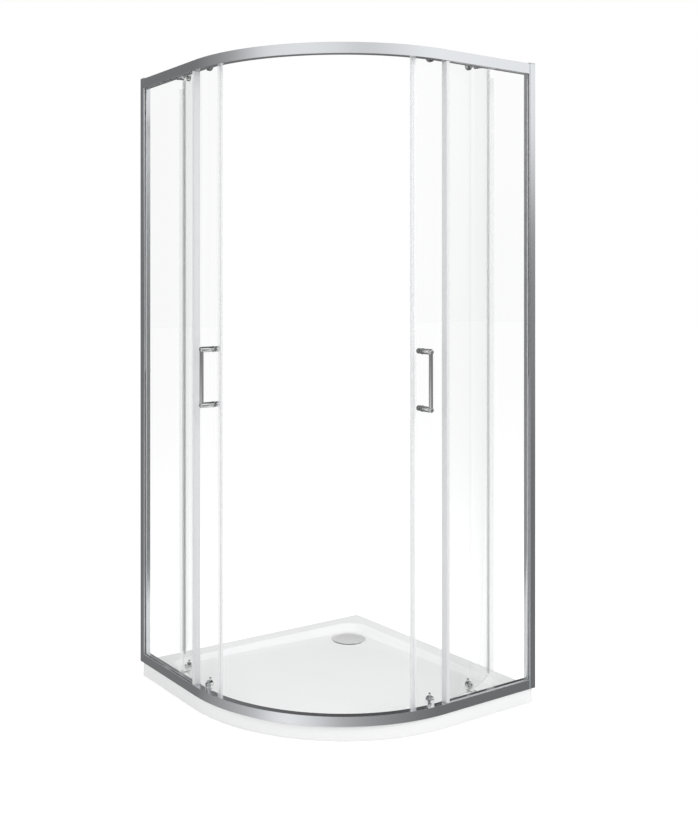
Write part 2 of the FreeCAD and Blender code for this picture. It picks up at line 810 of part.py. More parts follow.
def handle_stud(z):
    start = door_inner - glass_pad_gap - handle_stud_depth
    end = door_outer + handle_washer_thickness + handle_stud_depth
    return peg(start, end, handle_stud_radius, z)


# Assembly

pieces = {
    "shower_tray": shower_tray(),
    "waste_gasket": waste_gasket(),
    "waste_flange": waste_flange(),
    "drain_cover": drain_cover(),
    "hair_catcher": hair_catcher(),
    "bottom_rail": rail(rim_z, bottom_rail_top),
    "top_rail": rail(frame_top, top_rail_bottom),
    "rail_infill_strips": group([infill_strip(bottom_rail_top, 1),
                                 infill_strip(top_rail_bottom, -1)]),
    "profile_end_caps": group(both(profile_end_cap())),
    "rail_connectors": group([block for z0, z1 in groove_heights()
                              for block in both(rail_connector(z0, z1))]),
    "fixed_panel_seals": group(both(fixed_seal())),
    "door_stops": group(both(door_stop())),
}

screws = [screw(side_screw_place(height), Vector(0, -1, 0), side_screw_depth)
          for height in side_screw_heights]
screws += [screw(*place) for z0, z1 in groove_heights() for place in connector_screws(z0, z1)]
pieces["frame_screws"] = group([twin for one in screws for twin in both(one)])

gaskets = [rail_gasket(rim_z, bottom_rail_top), rail_gasket(frame_top, top_rail_bottom),
           slot_gasket()]
pieces["glazing_gaskets"] = group([twin for one in gaskets for twin in both(one)])

for side, turn in (("left", unchanged), ("right", mirrored)):
    pieces[side + "_wall_profile"] = turn(wall_profile())
    pieces[side + "_inner_profile"] = turn(inner_profile())
    pieces[side + "_fixed_glass"] = turn(fixed_glass())

    door = side + "_door_"
    pieces[door + "glass"] = turn(door_glass())
    pieces[door + "leading_seal"] = turn(leading_seal())
    pieces[door + "magnet_strip"] = turn(magnet_strip())
    pieces[door + "trailing_seal"] = turn(trailing_seal())
    pieces[door + "handle_bar"] = turn(in_place(handle_bar(), handle_angle))
    for name, make in (("handle_washers", handle_washer), ("handle_knobs", handle_knob),
                       ("handle_studs", handle_stud)):
        pieces[door + name] = group([turn(in_place(make(z), handle_angle))
                                     for z in handle_post_heights()])
    angles = roller_angles.values()
    pieces[door + "top_caps"] = group([turn(in_place(top_cap(), a)) for a in angles])
    pieces[door + "top_axles"] = group([turn(in_place(top_axle(), a)) for a in angles])
    pieces[door + "roller_nuts"] = group([turn(in_place(roller_nut(z), a)) for a in angles
                                          for z in (top_wheel_z, housing_z)])
    pieces[door + "bottom_housings"] = group([turn(in_place(bottom_housing(), a))
                                              for a in angles])
    for end, angle in roller_angles.items():
        roller = side + "_" + end + "_"
        pieces[roller + "top_wheel"] = turn(in_place(wheel(top_wheel_z), angle))
        pieces[roller + "bottom_wheel"] = turn(in_place(wheel(bottom_wheel_z), angle))
        pieces[roller + "release_slide"] = turn(in_place(release_slide(), angle))
        pieces[roller + "release_spring"] = turn(in_place(release_spring(), angle))

for name, shape in pieces.items():
    shape.exportStep("parts/" + name + ".step")
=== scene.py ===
import math

import bmesh
import bpy
from mathutils import Matrix, Vector


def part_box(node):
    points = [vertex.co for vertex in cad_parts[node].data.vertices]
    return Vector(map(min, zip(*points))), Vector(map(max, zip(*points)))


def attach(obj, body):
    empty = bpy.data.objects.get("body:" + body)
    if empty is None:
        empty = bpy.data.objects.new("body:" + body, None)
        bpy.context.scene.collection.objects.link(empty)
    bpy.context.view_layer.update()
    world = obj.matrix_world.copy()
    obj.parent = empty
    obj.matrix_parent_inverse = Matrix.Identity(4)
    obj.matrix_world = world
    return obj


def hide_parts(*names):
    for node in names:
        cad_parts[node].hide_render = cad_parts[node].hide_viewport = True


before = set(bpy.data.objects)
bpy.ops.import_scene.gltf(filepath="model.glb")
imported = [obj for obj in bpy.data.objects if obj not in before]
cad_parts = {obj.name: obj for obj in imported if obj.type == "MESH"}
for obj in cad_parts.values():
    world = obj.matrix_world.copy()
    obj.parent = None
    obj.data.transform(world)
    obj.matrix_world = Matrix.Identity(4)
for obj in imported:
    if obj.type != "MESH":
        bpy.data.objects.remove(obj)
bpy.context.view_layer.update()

# The camera stands level before the open doors, a little higher than the handles, so that
# the uprights stay vertical. Its frame is shifted downwards and aside to take in the tray.
photo_width = 698
photo_height = 815
focal_length_px = 1070.9
lens_axis_px = Vector((294.92, 291.375))
camera_place = Vector((2.7471, -2.0043, 1.257))
camera_turn = math.radians(55.814)

camera = bpy.data.objects.new("camera", bpy.data.cameras.new("camera"))
bpy.context.scene.collection.objects.link(camera)
bpy.context.scene.camera = camera
camera.location = camera_place
camera.rotation_euler = (math.pi / 2, 0, camera_turn)
camera.data.lens = focal_length_px * camera.data.sensor_width / photo_height
camera.data.shift_x = (photo_width / 2 - lens_axis_px.x) / photo_height
camera.data.shift_y = (lens_axis_px.y - photo_height / 2) / photo_height
bpy.context.scene.view_settings.view_transform = "Standard"


# The studio is a white room with a pale floor and three soft lamps that leave no reflection.
# Polished metal mirrors a low, a level and a high row of grey screens, and a dark ceiling.
class Wire:
    """A shader socket. Sums and products of wires and numbers add their own Math nodes."""

    def __init__(self, finish, socket):
        self.finish = finish
        self.socket = socket

    def __add__(self, other):
        return self.finish.math("ADD", self, other)

    def __radd__(self, other):
        return self.finish.math("ADD", other, self)

    def __sub__(self, other):
        return self.finish.math("SUBTRACT", self, other)

    def __rsub__(self, other):
        return self.finish.math("SUBTRACT", other, self)

    def __mul__(self, other):
        return self.finish.math("MULTIPLY", self, other)

    def __rmul__(self, other):
        return self.finish.math("MULTIPLY", other, self)


class Finish:
    """The shader nodes of one material, or of the world."""

    def __init__(self, owner):
        owner.use_nodes = True
        self.owner = owner
        self.tree = owner.node_tree
        self.tree.nodes.clear()

    def node(self, kind, settings=None, inputs=None, output=0):
        """Add a node, with its settings first, and give one of its outputs."""
        made = self.tree.nodes.new(kind)
        for name, value in (settings or {}).items():
            if name == "stops":
                set_stops(made.color_ramp, value)
            else:
                setattr(made, name, value)
        for name, value in (inputs or {}).items():
            if isinstance(value, Wire):
                self.tree.links.new(value.socket, made.inputs[name])
            else:
                made.inputs[name].default_value = value
        return Wire(self, made.outputs[output]) if made.outputs else None

    def math(self, operation, a, b):
        return self.node("ShaderNodeMath", {"operation": operation}, {0: a, 1: b})

    def mix(self, factor, a, b):
        """Mix two colours."""
        return self.node("ShaderNodeMix", {"data_type": "RGBA"}, {0: factor, 6: a, 7: b}, 2)

    def rise(self, value, band):
        """Smooth rise from 0 to 1 as a value crosses a band."""
        return self.node("ShaderNodeMapRange", {"interpolation_type": "SMOOTHSTEP"},
                         {"Value": value, "From Min": band[0], "From Max": band[1]})

    def noise(self, scale, stretch=(1, 1, 1), detail=2.0):
        """Noise over the object, scale to the metre, from 0 to 1."""
        place = self.node("ShaderNodeTexCoord", output="Object")
        stretched = self.node("ShaderNodeVectorMath", {"operation": "MULTIPLY"},
                              {0: place, 1: stretch})
        return self.node("ShaderNodeTexNoise", None,
                         {"Vector": stretched, "Scale": scale, "Detail": detail}, "Fac")

    def bump(self, height, depth):
        return self.node("ShaderNodeBump", None, {"Height": height, "Distance": depth})

    def out(self, surface):
        kind = "World" if isinstance(self.owner, bpy.types.World) else "Material"
        self.node("ShaderNodeOutput" + kind, None, {"Surface": surface})
        return self.owner


def grey(level):
    return (level, level, level, 1.0)


def set_stops(ramp, stops):
    """Give a colour ramp smooth (place, grey level) stops."""
    ramp.interpolation = "B_SPLINE"
    while len(ramp.elements) < len(stops):
        ramp.elements.new(1.0)
    for element, (place, level) in zip(ramp.elements, stops):
        element.position = place
        element.color = grey(level)


def new_material(name):
    return Finish(bpy.data.materials.new(name))


def ray(finish, kind):
    return finish.node("ShaderNodeLightPath", output=kind)


world_light = 0.86

# Greys of the mirrored screens at their turns round the room, where 0.5 is +X and 0.75 is +Y
mirrored_low = ((0.07, 0.17), (0.12, 0.25), (0.24, 0.55), (0.29, 0.95), (0.33, 0.95),
                (0.41, 0.42), (0.55, 0.19), (0.63, 0.17))
mirrored_high = ((0.07, 0.17), (0.12, 0.24), (0.20, 0.38), (0.27, 0.95), (0.40, 0.90),
                 (0.45, 0.66), (0.55, 0.98), (0.63, 1.0), (0.68, 0.85), (0.73, 0.12), (0.80, 0.05),
                 (0.90, 0.06), (0.925, 0.26), (0.97, 0.30))
mirrored_level = ((0.07, 0.17), (0.15, 0.26), (0.24, 0.11), (0.41, 0.14), (0.55, 0.19),
                  (0.66, 0.30), (0.80, 0.12), (0.97, 0.12))
horizon_band = (-0.20, 0.17)       # heights of a direction where the high row takes over
level_band = (0.03, 0.15)          # distances from the level where the level row fades out
ceiling_band = (0.56, 0.74)        # heights where the dark ceiling begins
dark_ceiling = 0.07

world = Finish(bpy.data.worlds.new("studio"))
bpy.context.scene.world = world.owner
direction = world.node("ShaderNodeTexCoord", output="Generated")
across, along, up = (world.node("ShaderNodeSeparateXYZ", None, {0: direction}, axis)
                     for axis in "XYZ")
turn = world.math("ARCTAN2", along, across) * (0.5 / math.pi) + 0.5
low, level, high = (world.node("ShaderNodeValToRGB", {"stops": row}, {0: turn})
                    for row in (mirrored_low, mirrored_level, mirrored_high))
lift = world.rise(up, horizon_band)
off_level = world.rise(world.math("ABSOLUTE", up, 0), level_band)
screens = world.mix(off_level, level, world.mix(lift * lift, low, high))
screens = world.mix(world.rise(up, ceiling_band), screens, grey(dark_ceiling))
seen_white = world.math("MAXIMUM", ray(world, "Is Camera Ray"), ray(world, "Is Transmission Ray"))
lit = world.mix(ray(world, "Is Glossy Ray"), grey(world_light), screens)
world.out(world.node("ShaderNodeBackground", None,
                     {"Color": world.mix(seen_white, lit, grey(1.0))}))

floor_size = 30.0
floor_white = 0.80
floor_lift = 0.33                  # added to the lit floor, so that it reads as white paper
floor_drop = 0.0004                # below the tray's underside

floor_mesh = bpy.data.meshes.new("floor")
corners = [(x * floor_size, y * floor_size, 0.0) for x, y in ((-1, -1), (1, -1), (1, 1), (-1, 1))]
floor_mesh.from_pydata(corners, [], [(0, 1, 2, 3)])
floor = bpy.data.objects.new("floor", floor_mesh)
bpy.context.scene.collection.objects.link(floor)
floor.location.z = -floor_drop
floor.visible_glossy = False
paper = new_material("white_paper")
seen = paper.math("MAXIMUM", ray(paper, "Is Camera Ray"), ray(paper, "Is Transmission Ray"))
matt = paper.node("ShaderNodeBsdfDiffuse", None, {"Color": grey(floor_white)})
glow = paper.node("ShaderNodeEmission", None, {"Strength": seen * floor_lift})
floor_mesh.materials.append(paper.out(paper.node("ShaderNodeAddShader", None, {0: matt, 1: glow})))


def soft_lamp(name, place, target, size, power):
    lamp = bpy.data.objects.new(name, bpy.data.lights.new(name, "AREA"))
    bpy.context.scene.collection.objects.link(lamp)
    lamp.data.shape = "SQUARE"
    lamp.data.size = size
    lamp.data.energy = power
    lamp.location = place
    lamp.rotation_euler = (Vector(target) - Vector(place)).to_track_quat("-Z", "Y").to_euler()
    lamp.visible_glossy = False


# Name, place, target, size of the side in metres, and power in watts
lamps = (("right_lamp", (3.2, 0.6, 2.6), (0, 0, 0.6), 2.5, 43),
         ("left_lamp", (0.2, -3.4, 1.2), (0, -0.3, 0.2), 2.5, 15),
         ("upper_lamp", (0.2, 0, 3.8), (0, 0, 0), 2.0, 15))
for lamp in lamps:
    soft_lamp(*lamp)


# The shower tray is one white gloss acrylic moulding on the floor: a flat rim, a sloping bank
# and a floor that falls gently to the waste in the back corner. It stands a little behind the
# rails' outer faces and is bedded and sealed to the room's two walls.
tray_low, tray_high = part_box("shower_tray")
cover_low, cover_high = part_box("drain_cover")
rim_z = tray_high.z
tray_bend_radius = 0.534
tray_end_radius = 0.018
tray_back_radius = 0.004
corner_steps = 16
bend_steps = 96
rim_width = 0.058
bank_width = 0.025
basin_depth = 0.020
basin_fall = 0.012
basin_corner_radius = 0.075
waste_centre = Vector(((cover_low.x + cover_high.x) / 2, (cover_low.y + cover_high.y) / 2, 0))
waste_hole_radius = 0.045
waste_seat_radius = 0.061
waste_seat_z = 0.018
skirt_edge = 0.0045
rim_round = 0.40                   # shares of the bank that the rim's and the foot's rounding take
foot_round = 0.56
cut_edge = 0.0008
softened_steps = 5
bank_passes = 4                    # the bank's foot is moved this often to meet the floor's fall
acrylic_cool = (0.90, 0.905, 0.91, 1)
acrylic_warm = (0.92, 0.92, 0.92, 1)
acrylic_gloss = 0.3                # specular level
acrylic_roughness = 0.14
acrylic_cloud_scale = 7.0          # to the metre, as all scales of noise are
peel_scale = 160.0
peel_roughness = 0.06
peel_depth = 0.00003


def rounded(corners):
    """Closed outline through (x, y, radius, steps) corners, with an arc at each one."""
    outline = []
    for index, (x, y, radius, steps) in enumerate(corners):
        corner = Vector((x, y))
        if not radius:
            outline.append(corner)
            continue
        before = (Vector(corners[index - 1][:2]) - corner).normalized()
        after = (Vector(corners[(index + 1) % len(corners)][:2]) - corner).normalized()
        opening = before.angle(after)
        turn = math.copysign(math.pi - opening, before.cross(after))
        centre = corner + (before + after).normalized() * radius / math.sin(opening / 2)
        start = corner + before * radius / math.tan(opening / 2) - centre
        for step in range(steps + 1):
            outline.append(centre + Matrix.Rotation(-turn * step / steps, 2) @ start)
    return outline


def tray_ring(inset, end_radius, back_radius):
    """Outline of the tray at a distance inside its sides."""
    wall = -tray_low.x - inset
    front = tray_high.x - inset
    return rounded(((-wall, -front, end_radius, corner_steps),
                    (front, -front, tray_bend_radius - inset, bend_steps),
                    (front, wall, end_radius, corner_steps),
                    (-wall, wall, back_radius, corner_steps)))


def softened(corners):
    """Points along a line through (point, reach) corners, each rounded off over its reach."""
    line = []
    for index, (corner, reach) in enumerate(corners):
        before = (corners[index - 1][0] - corner).normalized() * reach
        after = (corners[(index + 1) % len(corners)][0] - corner).normalized() * reach
        for step in range(softened_steps + 1):
            share = step / softened_steps
            line.append(corner + before * (1 - share) ** 2 + after * share ** 2)
    return line


def basin_floor_z(place):
    away = (place.to_2d() - waste_centre.to_2d()).length
    return rim_z - basin_depth + basin_fall * away


def tray_track(side, rim, foot):
    """Section of the tray from its skirt, over rim, bank and floor, to the waste and back below."""
    rim_point = rim.to_3d() + Vector((0, 0, rim_z))
    low_point = foot.to_3d() + Vector((0, 0, rim_z - basin_depth))
    share = 1.0
    for _ in range(bank_passes):
        share = (rim_z - basin_floor_z(rim_point.lerp(low_point, share))) / basin_depth
    bank_point = rim_point.lerp(low_point, share)
    bank = (bank_point - rim_point).length
    to_waste = (bank_point - waste_centre).to_2d().normalized().to_3d()
    seat = waste_centre + to_waste * waste_seat_radius
    hole = waste_centre + to_waste * waste_hole_radius
    up = Vector((0, 0, 1))
    return softened(((side.to_3d(), cut_edge), (side.to_3d() + up * rim_z, skirt_edge),
                     (rim_point, bank * rim_round), (bank_point, bank * foot_round),
                     (seat + up * basin_floor_z(seat), cut_edge), (seat + up * waste_seat_z, cut_edge),
                     (hole + up * waste_seat_z, cut_edge), (hole, cut_edge)))


def skin(bm, rows, closed=False):
    """Faces between rings of points. One point is a tip, and closed joins the last to the first."""
    made = [[bm.verts.new(point) for point in row] for row in rows]
    pairs = list(zip(made, made[1:]))
    if closed:
        pairs.append((made[-1], made[0]))
    for low, high in pairs:
        count = max(len(low), len(high))
        for index in range(count):
            following = index + 1
            corners = (low[index % len(low)], low[following % len(low)],
                       high[following % len(high)], high[index % len(high)])
            bm.faces.new(dict.fromkeys(corners))
    return made


sharp_angle = math.radians(40)


def ease_edges(piece, edge):
    bevel = piece.modifiers.new("eased_edges", "BEVEL")
    bevel.width = edge
    bevel.segments = 2
    bevel.angle_limit = sharp_angle
    bevel.harden_normals = True


def finish_piece(name, bm, material, body, nodes, edge=0.0):
    """Make a piece of a bmesh, ease its edges, and let it ride on a body for its CAD nodes."""
    bmesh.ops.recalc_face_normals(bm, faces=bm.faces)
    mesh = bpy.data.meshes.new(name)
    bm.to_mesh(mesh)
    bm.free()
    mesh.shade_smooth()
    mesh.materials.append(material)
    piece = bpy.data.objects.new(name, mesh)
    bpy.context.scene.collection.objects.link(piece)
    if edge:
        ease_edges(piece, edge)
    else:
        mesh.set_sharp_from_angle(angle=sharp_angle)
        piece.modifiers.new("true_flats", "WEIGHTED_NORMAL").keep_sharp = True
    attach(piece, body)
    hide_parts(*nodes)


acrylic = new_material("tray_acrylic")
acrylic_cloud = acrylic.noise(acrylic_cloud_scale)
orange_peel = acrylic.noise(peel_scale)
tray_material = acrylic.out(acrylic.node("ShaderNodeBsdfPrincipled", None, {
    "Base Color": acrylic.mix(acrylic_cloud, acrylic_cool, acrylic_warm),
    "Roughness": acrylic_roughness + orange_peel * peel_roughness,
    "Normal": acrylic.bump(orange_peel, peel_depth),
    "Specular IOR Level": acrylic_gloss,
}))

tray = bmesh.new()
skin(tray, [tray_track(*track) for track in zip(
    tray_ring(0, tray_end_radius, tray_back_radius),
    tray_ring(rim_width, basin_corner_radius, basin_corner_radius),
    tray_ring(rim_width + bank_width, basin_corner_radius - bank_width,
              basin_corner_radius - bank_width))], closed=True)
finish_piece("tray_moulding", tray, tray_material, "enclosure", ["shower_tray"])


# The waste is a flanged plastic fitting that is clamped through the tray on a rubber gasket.
# Its sleeve carries the water down, and the lift-off cover stands on the flange's flat top.
gasket_top = 0.020
flange_top = 0.023
waste_clearance = 0.0001
sleeve_radius = 0.0405
sleeve_foot = 0.001
gasket_edge = 0.0004
fitting_edge = 0.0007
turned_steps = 64
eased_steps = 3
mould_cloud_scale = 14.0
mould_shade = 0.95                 # darkest share of the colour
mould_grain_scale = 900.0
mould_roughness = 0.1
mould_depth = 0.00002
rubber_grey = (0.22, 0.22, 0.23)
nylon_white = (0.70, 0.70, 0.68)


def turned(bm, profile, place, closed=False, steps=turned_steps):
    """Turn a profile of (along, off) points about an axis. place maps (along, across, up)."""
    rows = []
    for along, off in profile:
        around = range(steps) if off > 0 else range(1)
        turns = [2 * math.pi * index / steps for index in around]
        rows.append([place(along, off * math.cos(turn), off * math.sin(turn)) for turn in turns])
    skin(bm, rows, closed=closed)


def eased(corners, radius):
    """Outline through (x, y) corners, all rounded alike, apart from those on a turning axis."""
    return rounded([(x, y, radius if y > 0 else 0, eased_steps) for x, y in corners])


def above_waste(along, across, up):
    return waste_centre + Vector((across, up, along))


def soft_moulding(name, colour, roughness):
    """Matt or satin plastic or rubber, with a faint moulded grain."""
    moulding = new_material(name)
    cloud = moulding.noise(mould_cloud_scale)
    fine = moulding.noise(mould_grain_scale)
    return moulding.out(moulding.node("ShaderNodeBsdfPrincipled", None, {
        "Base Color": moulding.mix(cloud, (*[part * mould_shade for part in colour], 1),
                                   (*colour, 1)),
        "Roughness": roughness + fine * mould_roughness,
        "Normal": moulding.bump(fine, mould_depth),
    }))


rubber = soft_moulding("rubber_grey", rubber_grey, roughness=0.55)
nylon = soft_moulding("nylon_satin", nylon_white, roughness=0.35)

flange_radius = waste_seat_radius - waste_clearance
gasket = bmesh.new()
turned(gasket, eased(((waste_seat_z, waste_hole_radius), (gasket_top, waste_hole_radius),
                      (gasket_top, flange_radius), (waste_seat_z, flange_radius)), gasket_edge),
       above_waste, closed=True)
finish_piece("waste_gasket_ring", gasket, rubber, "enclosure", ["waste_gasket"])

flange = bmesh.new()
sleeve_outer = waste_hole_radius - waste_clearance
turned(flange, eased(((sleeve_foot, sleeve_radius), (flange_top, sleeve_radius),
                      (flange_top, flange_radius), (gasket_top, flange_radius),
                      (gasket_top, sleeve_outer), (sleeve_foot, sleeve_outer)), fitting_edge),
       above_waste, closed=True)
finish_piece("waste_flange_fitting", flange, nylon, "enclosure", ["waste_flange"])


# The drain cover is a shallow dome, pressed and chrome-plated, with a rolled edge. It stands
# on three small feet, so that water runs in under it, and a stem holds the hair catcher.
cover_radius = 0.059
cover_edge_z = 0.0265
cover_rise = 0.007
cover_thickness = 0.0022
cover_roll = 0.0010
cover_roll_steps = 6
cover_step_radius = 0.050
cover_step = 0.0004
cover_feet = 3
cover_foot_radius = 0.003
cover_foot_edge = 0.0006
cover_foot_steps = 24
cover_foot_circle = 0.051
catcher_top = 0.014
dome_steps = 14
dome_inside = (0.6, 0.3, 0)        # rings of the lower face, as shares of the radius
satin_haze = 0.30                  # roughness of the cover's satin plating
satin_metal = 0.3
plate_dark = 0.82
plate_light = 0.88
veil_scale = 25.0
veil_roughness = 0.03
wiping = (900, 60, 200)            # hairlines to the metre along X, Y and Z
wiping_roughness = 0.02
wiping_depth = 0.000002

dome_top = cover_edge_z + cover_thickness + cover_rise
dome_radius = (cover_radius ** 2 + cover_rise ** 2) / (2 * cover_rise)


def dome_z(off, thickness):
    """Height of the dome's upper or lower face at a distance from its middle."""
    return dome_top - dome_radius + math.sqrt((dome_radius - thickness) ** 2 - off ** 2)


def chrome_plate(name, haze, metal):
    """Chrome with a very faint veil and hairlines from wiping."""
    chrome = new_material(name)
    veil = chrome.noise(veil_scale)
    hairlines = chrome.noise(1.0, wiping, detail=4.0)
    return chrome.out(chrome.node("ShaderNodeBsdfPrincipled", None, {
        "Base Color": chrome.mix(veil, grey(plate_dark), grey(plate_light)),
        "Metallic": metal,
        "Roughness": haze + veil * veil_roughness + hairlines * wiping_roughness,
        "Normal": chrome.bump(hairlines, wiping_depth),
    }))


chrome_cover = chrome_plate("chrome_satin", satin_haze, satin_metal)
cover = bmesh.new()
upper = []
for index in range(dome_steps + 1):
    off = (cover_radius - cover_roll) * index / dome_steps
    raised = cover_step if off < cover_step_radius else 0.0
    upper.append((dome_z(off, 0) - cover_step + raised, off))
for index in range(1, cover_roll_steps):
    turn = math.pi / 2 * index / cover_roll_steps
    upper.append((upper[dome_steps][0] - cover_roll * (1 - math.cos(turn)),
                  cover_radius - cover_roll * (1 - math.sin(turn))))
cover_inside = cover_radius - cover_thickness
lower = [(dome_z(off, cover_thickness), off)
         for off in (cover_inside, *[cover_radius * share for share in dome_inside])]
turned(cover, upper + [(cover_edge_z + cover_roll / 2, cover_radius),
                       (cover_edge_z, cover_radius - cover_roll / 2),
                       (cover_edge_z, cover_inside)] + lower, above_waste)
posts = [(cover_foot_circle, flange_top, 2 * math.pi * index / cover_feet)
         for index in range(cover_feet)]
posts.append((0.0, catcher_top, 0.0))
for circle, low, turn in posts:
    high = dome_z(circle, cover_thickness / 2)
    spot = Vector((math.cos(turn), math.sin(turn), 0)) * circle
    turned(cover, eased(((low, 0), (low, cover_foot_radius), (high, cover_foot_radius), (high, 0)),
                        cover_foot_edge),
           lambda along, across, up, spot=spot: above_waste(along, across, up) + spot,
           steps=cover_foot_steps)
finish_piece("drain_cover_dome", cover, chrome_cover, "cover", ["drain_cover"])


# The hair catcher under the cover is a slotted disc of stainless steel, pressed on the stem.
# Its slots are stamped, and its faces keep the fine lines of rolling.
steel_dark = 0.55
steel_light = 0.66
rolling = (300, 300, 40)           # lines to the metre along X, Y and Z
rolling_depth = 0.000004
steel_roughness = 0.2
rolling_roughness = 0.12
joined_distance = 0.000002
flat_angle = math.radians(0.2)
small_edge = 0.0003


def carry_over(node, material, edge=0.0):
    """Keep a node's own shape, with welded faces and eased edges, in a new material."""
    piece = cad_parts[node]
    for place in piece.material_slots:
        place.material = material
    if edge:
        piece.modifiers.new("joined_faces", "WELD").merge_threshold = joined_distance
        flat = piece.modifiers.new("whole_faces", "DECIMATE")
        flat.decimate_type = "DISSOLVE"
        flat.angle_limit = flat_angle
        ease_edges(piece, edge)


stainless = new_material("stainless_steel")
rolled = stainless.noise(1.0, rolling, detail=3.0)
steel = stainless.out(stainless.node("ShaderNodeBsdfPrincipled", None, {
    "Base Color": stainless.mix(rolled, grey(steel_dark), grey(steel_light)),
    "Metallic": 1.0,
    "Roughness": steel_roughness + rolled * rolling_roughness,
    "Normal": stainless.bump(rolled, rolling_depth),
}))
carry_over("hair_catcher", steel, small_edge)


# The two rails are extruded aluminium, bent to the quadrant and polished bright. Each has a
# glazing channel along its outer side and a roller groove that opens inwards. The lower one
# is sealed down on the tray's rim, and the upper one lies across the tops of the panes.
rail_low, rail_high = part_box("bottom_rail")
top_low, top_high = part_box("top_rail")
half = rail_high.x
inner_front = rail_low.x + half
bend_radius = 0.5264
bend_centre = Vector((half - bend_radius, bend_radius - half, 0))
rail_depth = 0.023
rail_wall = 0.0016
gasket_thickness = 0.0014
glass_thickness = 0.006
glass_inset = rail_wall + gasket_thickness
glass_back = glass_inset + glass_thickness
web_inset = glass_back + gasket_thickness
groove_inset = web_inset + rail_wall
rail_edge = 0.0004
rail_steps = 90
rail_straight = -rail_low.x + bend_centre.x
aluminium_dark = (0.79, 0.81, 0.835, 1)
aluminium_light = (0.85, 0.87, 0.90, 1)
aluminium_roughness = 0.145
die_line_roughness = 0.05
die_line_depth = 0.000003
film_scale = 5.0
film_roughness = 0.03
level_lines = (5, 5, 2400)         # lines of the die to the metre along X, Y and Z


def rail_stations(straight):
    """Places along the rails' outer face, each with the way out of the enclosure."""
    out = Vector((0, -1, 0))
    stations = [(bend_centre + Vector((-straight, -bend_radius, 0)), out)]
    for step in range(rail_steps + 1):
        turn = math.pi / 2 * (step / rail_steps - 1)
        out = Vector((math.cos(turn), math.sin(turn), 0))
        stations.append((bend_centre + out * bend_radius, out))
    stations.append((bend_centre + Vector((bend_radius, straight, 0)), out))
    return stations


def along_rail(bm, section, straight):
    """Bar along the rails from an outline of (inset, height) points."""
    up = Vector((0, 0, 1))
    rows = skin(bm, [[place - out * inset + up * height for inset, height in section]
                     for place, out in rail_stations(straight)])
    bm.faces.new(rows[0])
    bm.faces.new(rows[-1])


def rail_section(closed_z, open_z):
    """Outline of (inset, height) points, with the glazing channel open towards open_z."""
    wall = math.copysign(rail_wall, open_z - closed_z)
    floor = closed_z + wall
    lip = open_z - wall
    return ((0, closed_z), (rail_depth, closed_z), (rail_depth, floor), (groove_inset, floor),
            (groove_inset, lip), (rail_depth, lip), (rail_depth, open_z), (web_inset, open_z),
            (web_inset, floor), (rail_wall, floor), (rail_wall, open_z), (0, open_z))


def drawn_aluminium(name, stretch):
    """Polished anodised aluminium, with the fine lines of the die along its length."""
    metal = new_material(name)
    lines = metal.noise(1.0, stretch, detail=4.0)
    film = metal.noise(film_scale)
    return metal.out(metal.node("ShaderNodeBsdfPrincipled", None, {
        "Base Color": metal.mix(lines, aluminium_dark, aluminium_light),
        "Metallic": 1.0,
        "Roughness": aluminium_roughness + lines * die_line_roughness + film * film_roughness,
        "Normal": metal.bump(lines, die_line_depth),
    }))


rail_metal = drawn_aluminium("aluminium_drawn_level", level_lines)
for name, node, closed_z, open_z in (("lower_rail_bar", "bottom_rail", rail_low.z, rail_high.z),
                                     ("upper_rail_bar", "top_rail", top_high.z, top_low.z)):
    rail = bmesh.new()
    along_rail(rail, rail_section(closed_z, open_z), rail_straight)
    finish_piece(name, rail, rail_metal, "enclosure", [node], rail_edge)


# Where no glass stands in the rails' channels, between the two fixed panes, an aluminium
# strip is clipped in, flush with the channel's lips, so that no dirt collects in it.
infill_thickness = 0.004
infill_clearance = 0.0001
infill_overrun = 0.0066

infill = bmesh.new()
for open_z, way in ((rail_high.z, 1), (top_low.z, -1)):
    inner = open_z - way * infill_thickness
    near = rail_wall + infill_clearance
    far = web_inset - infill_clearance
    along_rail(infill, ((near, inner), (far, inner), (far, open_z), (near, open_z)), infill_overrun)
finish_piece("rail_infill_bars", infill, rail_metal, "enclosure",
             ["rail_infill_strips"], small_edge)


# The wall profiles are aluminium channels that are screwed to the room's walls. The inner
# profiles slide in them to take up a wall that leans, and hold the fixed panes in a slot.
upright_lines = (1800, 1800, 3)
fine_edge = 0.0002

upright_metal = drawn_aluminium("aluminium_drawn_upright", upright_lines)
sides = ("left", "right")
for side in sides:
    carry_over(side + "_wall_profile", upright_metal, small_edge)
    carry_over(side + "_inner_profile", upright_metal, fine_edge)


# Moulded plastic caps close the tops of the profiles. Their thin rounded plates lie on the
# aluminium, and a plug under each one is pressed into the channel.
def sided(side, point):
    """A left-hand point, or its twin across the enclosure's diagonal."""
    return point if side == "left" else Vector((-point.y, -point.x, point.z))


def left_plan(from_wall, inset):
    """Point of the left side from its distances to the wall and to the outer face."""
    return Vector((from_wall - half, inset - half))


def upright(bm, side, outline, z0, z1):
    """Upright bar over an outline of left-hand plan points."""
    rows = skin(bm, [[sided(side, Vector((*point, z))) for point in outline] for z in (z0, z1)])
    for row in rows:
        bm.faces.new(row)


def left_bar(bm, side, from_wall, inset, z0, z1):
    """Upright bar between two distances from the wall and two from the outer face."""
    corners = [(0, 0), (1, 0), (1, 1), (0, 1)]
    upright(bm, side, [left_plan(from_wall[a], inset[b]) for a, b in corners], z0, z1)


caps_low, caps_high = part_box("profile_end_caps")
profile_width = 0.025
profile_wall = 0.0013
profile_base = 0.002
slide_clearance = 0.0002
inner_back = 0.008
profile_cap_edge = 0.0006
cap_silver = (0.40, 0.41, 0.42)
cap_plastic = soft_moulding("end_cap_silver", cap_silver, roughness=0.3)

